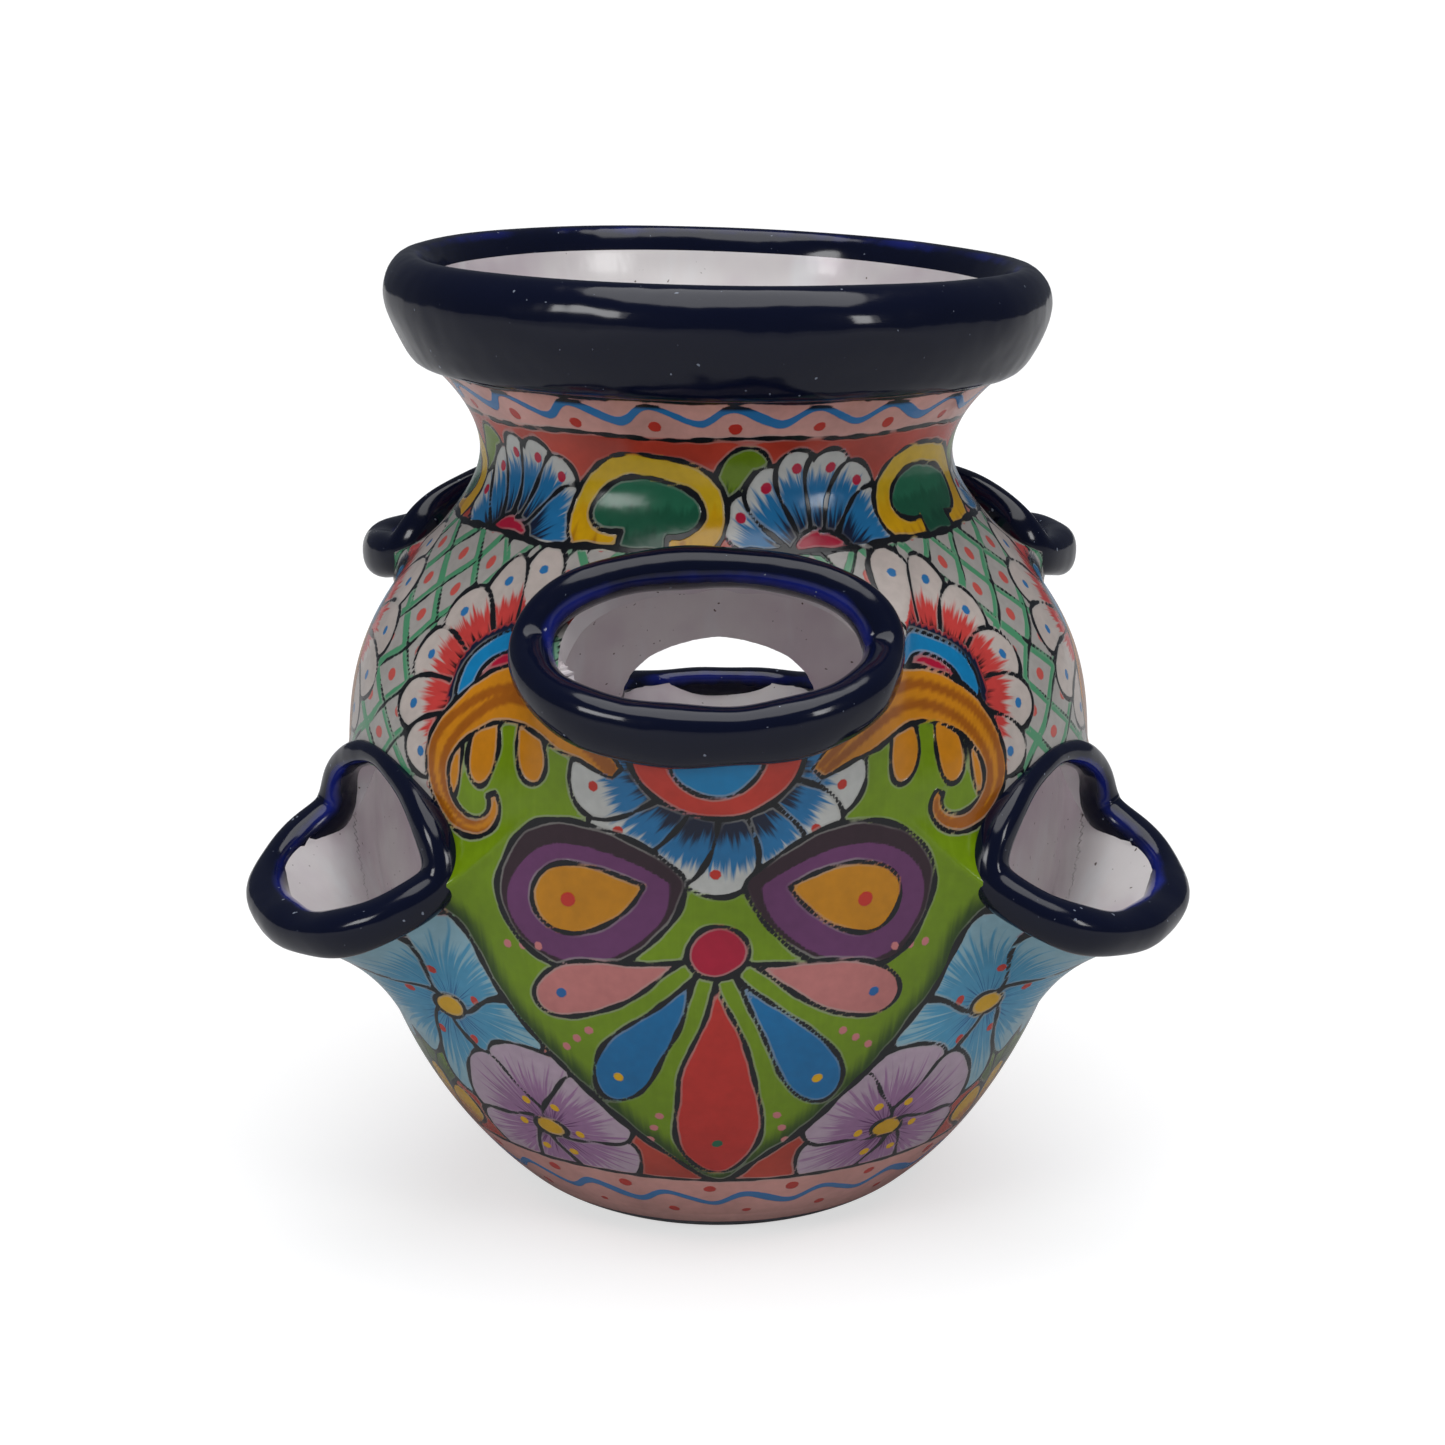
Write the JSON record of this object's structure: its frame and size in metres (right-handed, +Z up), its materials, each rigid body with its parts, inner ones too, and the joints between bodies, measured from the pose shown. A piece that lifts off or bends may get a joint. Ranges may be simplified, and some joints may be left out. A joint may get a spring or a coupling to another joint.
{
  "type": "pocket planter pot",
  "caption": "Hand-painted glazed clay pot with a flared neck, a thick rolled rim, two staggered tiers of lipped side pockets and a drain hole.",
  "frame": {"origin": "centre of the foot, on the surface the pot stands on", "axes": "+Z up along the pot's axis through the mouth, -Y towards the front upper pocket, +X to the right seen from the front"},
  "size_m": [0.268, 0.2783, 0.28],
  "materials": {
    "painted_wall": "bright hand-painted colours under clear glossy glaze, pinkish white inside",
    "cobalt_roll": "thick cobalt blue glossy glaze",
    "bare_foot": "unglazed terracotta under, glazed edge"
  },
  "bodies": {
    "root": {"floor_disc": "bare_foot", "bowl_wall": "painted_wall", "belly_wall": "painted_wall", "shoulder_wall": "painted_wall", "neck_wall": "painted_wall", "rim_roll": "cobalt_roll", "upper_pouch_front": "painted_wall", "upper_pouch_right": "painted_wall", "upper_pouch_left": "painted_wall", "lower_pouch_right": "painted_wall", "lower_pouch_rear": "painted_wall", "lower_pouch_left": "painted_wall", "upper_lip_front": "cobalt_roll", "upper_lip_right": "cobalt_roll", "upper_lip_left": "cobalt_roll", "lower_lip_right": "cobalt_roll", "lower_lip_rear": "cobalt_roll", "lower_lip_left": "cobalt_roll"}
  },
  "joints": []
}
